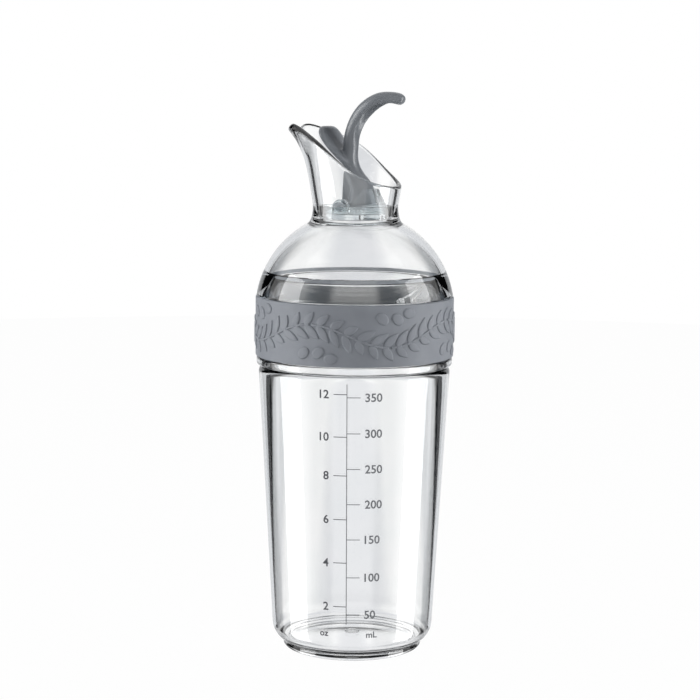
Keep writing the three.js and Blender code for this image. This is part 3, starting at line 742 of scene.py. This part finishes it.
for name, profile, operation in (
    ("outlet_lip", outlet_lip_profile, "UNION"),
    ("outlet", outlet_profile, "DIFFERENCE"),
):
    tool = turned(name, profile, None, SMALL_TURN_STEPS)
    tool.data.transform(Matrix.Translation((OUTLET_X * MM, 0, 0)))
    combine(spout_floor, tool, operation)
drill_for_pin(spout_floor)
shaded(spout_floor.data, 35)
# Clear copolyester with a faint cool tint, which shows in the cup's thick floor.
tinted_moulding = clear_plastic("tinted_clear_copolyester", "#e6edef", "#eef3f4", 1.53, 0.02, 9, 0.03)
fitted(spout_floor, tinted_moulding, "lid", "spout_floor")


# Gasket. A plain ring of grey silicone rubber, moulded flat and laid in the lid's seat, where it
# is squeezed between the lid and the bottle's rim.
GASKET_INSIDE = 33.95
GASKET_OUTSIDE = 35.45
GASKET_LOW_Z = 152.7
GASKET_HIGH_Z = 154.1


def grey_moulding(name, low, high, smooth, rough, grain_mm, relief_mm, tone_mm):
    """Opaque moulded material: its tone drifts over tone_mm, and its skin has its own grain."""
    material, tree = new_material(name)
    place = add(tree, "ShaderNodeTexCoord").outputs["Object"]
    drift = add(
        tree,
        "ShaderNodeTexNoise",
        {},
        {"Vector": place, "Scale": 1 / (tone_mm * MM), "Detail": 2.0},
    ).outputs["Fac"]
    skin = add(
        tree,
        "ShaderNodeTexNoise",
        {},
        {"Vector": place, "Scale": 1 / (grain_mm * MM), "Detail": 4.0},
    ).outputs["Fac"]
    tone = add(tree, "ShaderNodeValToRGB", {"stops": [(0.3, low), (0.7, high)]}, {"Fac": drift})
    sheen = add(tree, "ShaderNodeMapRange", {}, {"Value": skin, "To Min": smooth, "To Max": rough})
    relief = add(tree, "ShaderNodeBump", {}, {"Strength": 1.0, "Distance": relief_mm * MM, "Height": skin})
    body = add(
        tree,
        "ShaderNodeBsdfPrincipled",
        {},
        {
            "Base Color": tone.outputs["Color"],
            "Roughness": sheen.outputs[0],
            "IOR": 1.5,
            "Normal": relief.outputs[0],
        },
    )
    add(tree, "ShaderNodeOutputMaterial", {}, {"Surface": body.outputs[0]})
    return material


# Silicone rubber from a plain tool: soft and matt, with a grain just fine enough to dull it.
gasket_grey = grey_moulding("plain_grey_silicone_rubber", "#8b8f95", "#979ba1", 0.42, 0.55, 0.7, 0.01, 9)
gasket_profile = [
    (GASKET_INSIDE, GASKET_LOW_Z),
    (GASKET_OUTSIDE, GASKET_LOW_Z),
    (GASKET_OUTSIDE, GASKET_HIGH_Z),
    (GASKET_INSIDE, GASKET_HIGH_Z),
]
gasket = turned("silicone_gasket", gasket_profile)
fitted(gasket, gasket_grey, "lid_gasket", "lid_gasket")


# Stopper. A bell of milky silicone rubber, moulded in one piece and pushed onto the lever's post.
# It covers the outlet until the lever lifts it.
def dress(node, material):
    """Gives the finish to a CAD node that shows as it is."""
    mesh = nodes[node].data
    mesh.materials.clear()
    mesh.materials.append(material)


# Translucent silicone rubber: milky, and dulled by a fine mould texture.
milky_silicone = clear_plastic("milky_silicone_rubber", "#dfe4e7", "#eef1f3", 1.41, 0.2, 1.2, 0.02, 0.92)
dress("stopper", milky_silicone)


# Lever. Glossy grey plastic, moulded in a polished tool: a curved hook with a hollowed thumb
# face, a broad leaf in front of it, and a hub on the pin, all run together in soft fillets.
HUB_RADIUS = 2.5
HUB_REACH = 3.3
BAR_STEPS = 10
BAR_SIDES = 64
BAR_NUDGE = 0.02
FILLET_GRAIN = 0.35
FILLET_PASSES = 24
HOOK_SQUARENESS = 0.85
PADDLE_SQUARENESS = 0.6
# Stations from the pin, in mm: x, z, half depth, half width, and the scoop as a share of the depth.
HOOK = [
    (6.2, 0.7, 5.4, 6.2, 0),
    (6.0, 2.8, 5.4, 6.0, 0),
    (5.6, 5.8, 5.0, 5.4, 0),
    (4.6, 8.8, 4.1, 4.7, 0),
    (2.6, 12.2, 3.3, 4.3, 0),
    (1, 15.8, 2.8, 3.9, 0),
    (0.2, 19.8, 2.7, 3.7, 0),
    (0.2, 24.2, 2.9, 3.6, 0),
    (1.2, 29.4, 3.2, 3.8, 0.4),
    (3.9, 34.8, 3.6, 4.4, 1.1),
    (8.1, 39.4, 3.8, 4.9, 1.4),
    (13.4, 42.5, 3.5, 4.7, 1.2),
    (18.7, 43.4, 2.8, 3.8, 0.4),
    (22.1, 43.2, 2.2, 2.9, 0),
    (23.5, 43, 1.1, 1.6, 0),
]
PADDLE = [
    (1.7, 15.2, 1.6, 3.6, 0),
    (-1.1, 18.7, 1.5, 6.4, 0),
    (-4.1, 22.2, 1.3, 8.4, 0),
    (-6.9, 25.8, 1.3, 9.6, 0),
    (-9.1, 29.1, 1.4, 9.3, 0),
    (-10.3, 31.2, 1.4, 7.4, 0),
    (-10.9, 32.3, 0.8, 5, 0),
]
# A web runs from the hub up the front of the hook, clear of the stopper behind it.
WEB = [(-2.4, 0), (0.2, 0), (-0.3, 1.6), (0.9, 5), (1.8, 8.2), (1.5, 15), (-1.6, 15), (-2.0, 9), (-2.3, 4)]


def along(stations, at):
    """A smooth curve through the stations, at a place counted in stations."""
    i = min(int(at), len(stations) - 2)
    t = at - i
    rows = [stations[min(max(i + k, 0), len(stations) - 1)] for k in (-1, 0, 1, 2)]
    out = []
    for a, b, c, d in zip(*rows):
        square = 2 * a - 5 * b + 4 * c - d
        cube = 3 * b - a - 3 * c + d
        out.append(0.5 * (2 * b + (c - a) * t + square * t * t + cube * t**3))
    return out


def bar(name, stations, squareness):
    """A round-edged bar through its stations, scooped out on its outer side."""
    form = bmesh.new()
    rings = []
    total = (len(stations) - 1) * BAR_STEPS
    for i in range(total + 1):
        at = i / BAR_STEPS
        x, z, depth, width, scoop = along(stations, at)
        after = along(stations, min(at + BAR_NUDGE, len(stations) - 1))
        before = along(stations, max(at - BAR_NUDGE, 0))
        run = Vector((after[0] - before[0], after[1] - before[1])).normalized()
        ring = []
        for k in range(BAR_SIDES):
            turn = 2 * math.pi * k / BAR_SIDES
            side = math.copysign(abs(math.sin(turn)) ** squareness, math.sin(turn))
            out = math.copysign(abs(math.cos(turn)) ** squareness, math.cos(turn))
            if out > 0:
                out *= 1 - scoop * (1 - side**2)
            deep = out * depth
            place = (PIVOT[0] + x + deep * run.y, side * width, PIVOT[1] + z - deep * run.x)
            ring.append(form.verts.new([c * MM for c in place]))
        rings.append(ring)
    for low, high in zip(rings, rings[1:]):
        for k in range(BAR_SIDES):
            j = (k + 1) % BAR_SIDES
            form.faces.new([low[k], low[j], high[j], high[k]])
    form.faces.new(rings[0])
    form.faces.new(rings[-1])
    return made(name, form)


web_outline = [(PIVOT[0] + x, PIVOT[1] + z) for x, z in WEB]
lever = bar("grey_lever", HOOK, HOOK_SQUARENESS)
combine(lever, bar("paddle", PADDLE, PADDLE_SQUARENESS), "UNION")
combine(lever, slab("web", web_outline, -HUB_REACH, HUB_REACH), "UNION")
combine(lever, disc("hub", HUB_RADIUS, HUB_REACH), "UNION")
# Remeshed as one skin and then smoothed, the parts run together in fillets.
fused = lever.modifiers.new("fused", "REMESH")
fused.mode = "VOXEL"
fused.voxel_size = FILLET_GRAIN * MM
softened = lever.modifiers.new("softened", "SMOOTH")
softened.factor = 0.5
softened.iterations = FILLET_PASSES
apply_steps(lever)
drill_for_pin(lever)
shaded(lever.data, 60)
# Acrylonitrile butadiene styrene from a polished tool: glossy, with a faint orange peel drawn
# coarse, 14 mm across, so that it shows.
lever_grey = grey_moulding("grey_gloss_abs", "#73777c", "#7f8388", 0.23, 0.29, 14.0, 0.0015, 18)
fitted(lever, lever_grey, "lever", "lever")


# Hinge pin. A headed rod of light grey acetal, pushed through both lugs and the lever's hub.
# Its heads keep it in place, just outside the lugs.

# Acetal rod: a lighter grey, with its ends polished by the heading tool.
pin_grey = grey_moulding("light_grey_acetal", "#a7abb0", "#b6babe", 0.1, 0.2, 2.0, 0.003, 4)
dress("hinge_pin", pin_grey)


# Grip band. Soft grey silicone, moulded with a fine matt surface and stretched into the lid's
# recess. Raised sprigs of leaves and olives run round it.
BAND_RADIUS = 40.4
BAND_LOW_Z = 120.9
BAND_HIGH_Z = 145.1
BAND_INSIDE = 39.25
BAND_ROUND = 0.5

# Silicone rubber from a blasted tool: matt, with a fine grain half a millimetre across.
band_grey = grey_moulding("matt_grey_silicone_rubber", "#868a91", "#90949b", 0.5, 0.68, 0.5, 0.02, 9)
band_profile = (
    [(BAND_INSIDE, BAND_LOW_Z)]
    + arc((BAND_RADIUS - BAND_ROUND, BAND_LOW_Z + BAND_ROUND), BAND_ROUND, 270, 360, 5)
    + arc((BAND_RADIUS - BAND_ROUND, BAND_HIGH_Z - BAND_ROUND), BAND_ROUND, 0, 90, 5)
    + [(BAND_INSIDE, BAND_HIGH_Z)]
)
band = turned("silicone_grip_band", band_profile)
fitted(band, band_grey, "lid", "grip_band")

SPRIGS = 8
SPRIG_WAVE = 4.4
STEM_WIDTH = 0.9
STEM_STEPS = 14
STEM_OVERLAP = 0.15
# The stem stops this share of its sprig's length short of each end.
STEM_GAP = 0.02
LEAF = (8.4, 3.3)
LEAF_POINTS = 8
LEAF_FULLNESS = 0.8
LEAF_PAIRS = 6
LEAF_SPREAD = 0.82
# Leaves that point out of the wave are shorter, to stay on the band.
OUTER_LEAF = 0.78
OLIVE = (5.6, 4.2)
OLIVE_POINTS = 18
# Each olive's place along its sprig, its height from the band's middle, and its tilt.
OLIVE_PLACES = [(0.10, -6.6, 0.7), (0.26, -8.8, 0.1), (0.90, 7.0, -0.7)]
# The relief from its root to its top: how far its outline shrinks, and how far it stands out.
RELIEF = [(1.0, -0.15), (1.0, 0.2), (0.9, 0.4), (0.7, 0.5)]
sprig_length = 2 * math.pi * BAND_RADIUS / SPRIGS
middle = (BAND_LOW_Z + BAND_HIGH_Z) / 2


def on_band(along_mm, height, proud):
    """A place on the band, from a distance round it."""
    angle = along_mm / BAND_RADIUS
    radius = BAND_RADIUS + proud
    return (radius * math.sin(angle) * MM, -radius * math.cos(angle) * MM, height * MM)


def raised(form, outline):
    """A convex outline of (distance round the band, height), raised with a soft edge."""
    count = len(outline)
    cx = sum(p[0] for p in outline) / count
    cz = sum(p[1] for p in outline) / count
    rings = []
    for grow, proud in RELIEF:
        places = [(cx + (u - cx) * grow, cz + (v - cz) * grow) for u, v in outline]
        rings.append([form.verts.new(on_band(u, v, proud)) for u, v in places])
    for low, high in zip(rings, rings[1:]):
        for i in range(count):
            j = (i + 1) % count
            form.faces.new([low[i], low[j], high[j], high[i]])
    form.faces.new(rings[0])
    form.faces.new(rings[-1])


def laid(outline, place, angle):
    """An outline turned by an angle and moved to a place on the band."""
    cos, sin = math.cos(angle), math.sin(angle)
    return [(place[0] + a * cos - b * sin, place[1] + a * sin + b * cos) for a, b in outline]


def leaf_outline(length, width):
    """A pointed leaf that starts at its root, broadest before its middle."""
    outline = []
    for side in (1, -1):
        for i in range(LEAF_POINTS):
            t = i / LEAF_POINTS if side > 0 else 1 - i / LEAF_POINTS
            out = side * width / 2 * math.sin(math.pi * t**LEAF_FULLNESS) ** LEAF_FULLNESS
            outline.append((t * length, out))
    return outline


def olive_outline(length, width):
    """An oval about its own middle."""
    turns = [2 * math.pi * i / OLIVE_POINTS for i in range(OLIVE_POINTS)]
    return [(length / 2 * math.cos(t), width / 2 * math.sin(t)) for t in turns]


def stem(form, points, width):
    """A run of short raised bars from point to point, each lapping over the next."""
    for a, b in zip(points, points[1:]):
        run = Vector((b[0] - a[0], b[1] - a[1])).normalized() * STEM_OVERLAP
        side = Vector((-run.y, run.x)).normalized() * width / 2
        start, end = Vector(a) - run, Vector(b) + run
        raised(form, [tuple(start - side), tuple(end - side), tuple(end + side), tuple(start + side)])


def sprig(form, start, flip):
    """A waving stem with pairs of leaves, and olives in the hollows of its wave."""

    def spine(t):
        return (start + sprig_length * t, middle + flip * SPRIG_WAVE * math.cos(math.pi * t))

    shares = [STEM_GAP + (1 - 2 * STEM_GAP) * i / STEM_STEPS for i in range(STEM_STEPS + 1)]
    stem(form, [spine(share) for share in shares], STEM_WIDTH)
    for i in range(LEAF_PAIRS):
        t = (i + 0.5) / LEAF_PAIRS
        here = spine(t)
        beyond = spine(min(1, t + STEM_GAP))
        heading = math.atan2(beyond[1] - here[1], beyond[0] - here[0])
        for side in (-1, 1):
            outward = side * flip * (0.5 - t) > 0
            length = LEAF[0] * (OUTER_LEAF if outward else 1.0)
            raised(form, laid(leaf_outline(length, LEAF[1]), here, heading + side * LEAF_SPREAD))
    for share, height, tilt in OLIVE_PLACES:
        place = (start + share * sprig_length, middle + flip * height)
        raised(form, laid(olive_outline(*OLIVE), place, flip * tilt))


relief_form = bmesh.new()
for n in range(SPRIGS):
    sprig(relief_form, n * sprig_length, 1 if n % 2 == 0 else -1)
relief = made("raised_olive_sprigs", relief_form, 50)
fitted(relief, band_grey, "lid", None)


# Printed scale. Grey ink printed on the outside of the bottle's wall: one upright line with
# fluid ounces to its left and millilitres to its right. The numbers are plain measures.
SCALE_ANGLE = math.radians(21)
INK_PROUD = 0.03
# Each measure, and the height of its mark.
OUNCES = [(2, 23.9), (4, 42.0), (6, 59.8), (8, 77.6), (10, 93.2), (12, 110.2)]
MILLILITRES = [(50, 20.6), (100, 36.0), (150, 51.6), (200, 66.0), (250, 80.3), (300, 94.6), (350, 109.0)]
LINE_LOW_Z = 16.5
LINE_HIGH_Z = 114.3
LINE_HALF = 0.14
MARK_HALF = 0.16
MARK_LENGTH = 5.3
NUMBER_GAP = 7.2
NUMBER_SIZE = 3.4
UNIT_Z = 12.2
UNIT_SIZE = 2.6
# The typeface's size for digits one unit tall, and how far its strokes are fattened.
FONT_SCALE = 1.38
STROKE_GROWTH = 0.09
SPECKLE_MM = 0.4
PRINT_COLUMN = 1.0
PRINT_ROW = 4.0


def screen_ink(name, low, high):
    """Screen ink: a thin matt film, with the fine speckle of the screen's mesh."""
    material, tree = new_material(name)
    place = add(tree, "ShaderNodeTexCoord").outputs["Object"]
    speckle = add(
        tree,
        "ShaderNodeTexNoise",
        {},
        {"Vector": place, "Scale": 1 / (SPECKLE_MM * MM), "Detail": 3.0},
    ).outputs["Fac"]
    tone = add(tree, "ShaderNodeValToRGB", {"stops": [(0.3, low), (0.7, high)]}, {"Fac": speckle})
    body = add(
        tree,
        "ShaderNodeBsdfPrincipled",
        {},
        {"Base Color": tone.outputs["Color"], "Roughness": 0.55},
    )
    add(tree, "ShaderNodeOutputMaterial", {}, {"Surface": body.outputs[0]})
    return material


def on_wall(from_line, height):
    """A place on the tapered wall, from the scale's upright line and up, in mm."""
    radius = wall_radius(height) + INK_PROUD
    angle = SCALE_ANGLE + from_line / radius
    return (radius * math.sin(angle) * MM, -radius * math.cos(angle) * MM, height * MM)


def strip(form, left, low, right, high):
    """A printed bar, in a grid fine enough to follow the wall."""
    columns = max(1, round((right - left) / PRINT_COLUMN))
    rows = max(1, round((high - low) / PRINT_ROW))
    across_mm = [left + (right - left) * c / columns for c in range(columns + 1)]
    grid = []
    for r in range(rows + 1):
        height = low + (high - low) * r / rows
        grid.append([form.verts.new(on_wall(x, height)) for x in across_mm])
    for r in range(rows):
        for c in range(columns):
            form.faces.new([grid[r][c], grid[r][c + 1], grid[r + 1][c + 1], grid[r + 1][c]])


def number(form, text, height_mm, left=None, right=None, size=NUMBER_SIZE):
    """Prints a number or a unit sign, from its left edge or up to its right one."""
    curve = bpy.data.curves.new("number", "FONT")
    curve.body = text
    curve.size = size * FONT_SCALE
    curve.offset = STROKE_GROWTH
    curve.resolution_u = 4
    holder = bpy.data.objects.new("number", curve)
    bpy.context.scene.collection.objects.link(holder)
    bpy.context.view_layer.update()
    mesh = bpy.data.meshes.new_from_object(holder.evaluated_get(bpy.context.evaluated_depsgraph_get()))
    bpy.data.objects.remove(holder)
    xs = [v.co.x for v in mesh.vertices]
    ys = [v.co.y for v in mesh.vertices]
    shift = (left - min(xs)) if left is not None else (right - max(xs))
    drop = height_mm - (min(ys) + max(ys)) / 2
    corners = [form.verts.new(on_wall(v.co.x + shift, v.co.y + drop)) for v in mesh.vertices]
    for face in mesh.polygons:
        form.faces.new([corners[i] for i in face.vertices])
    bpy.data.meshes.remove(mesh)


dark_ink = screen_ink("dark_grey_screen_ink", "#505256", "#64666a")
pale_ink = screen_ink("pale_grey_screen_ink", "#77797d", "#8b8d91")
ounce_form = bmesh.new()
strip(ounce_form, -LINE_HALF, LINE_LOW_Z, LINE_HALF, LINE_HIGH_Z)
for ounces, height in OUNCES:
    strip(ounce_form, -MARK_LENGTH, height - MARK_HALF, -LINE_HALF, height + MARK_HALF)
    number(ounce_form, str(ounces), height, right=-NUMBER_GAP)
number(ounce_form, "oz", UNIT_Z, right=-NUMBER_GAP, size=UNIT_SIZE)
ounce_scale = made("printed_ounce_scale", ounce_form)
fitted(ounce_scale, dark_ink, "bottle", None)
millilitre_form = bmesh.new()
for millilitres, height in MILLILITRES:
    strip(millilitre_form, LINE_HALF, height - MARK_HALF, MARK_LENGTH, height + MARK_HALF)
    number(millilitre_form, str(millilitres), height, left=NUMBER_GAP)
number(millilitre_form, "mL", UNIT_Z, left=NUMBER_GAP + 0.8, size=UNIT_SIZE)
millilitre_scale = made("printed_millilitre_scale", millilitre_form)
fitted(millilitre_scale, pale_ink, "bottle", None)
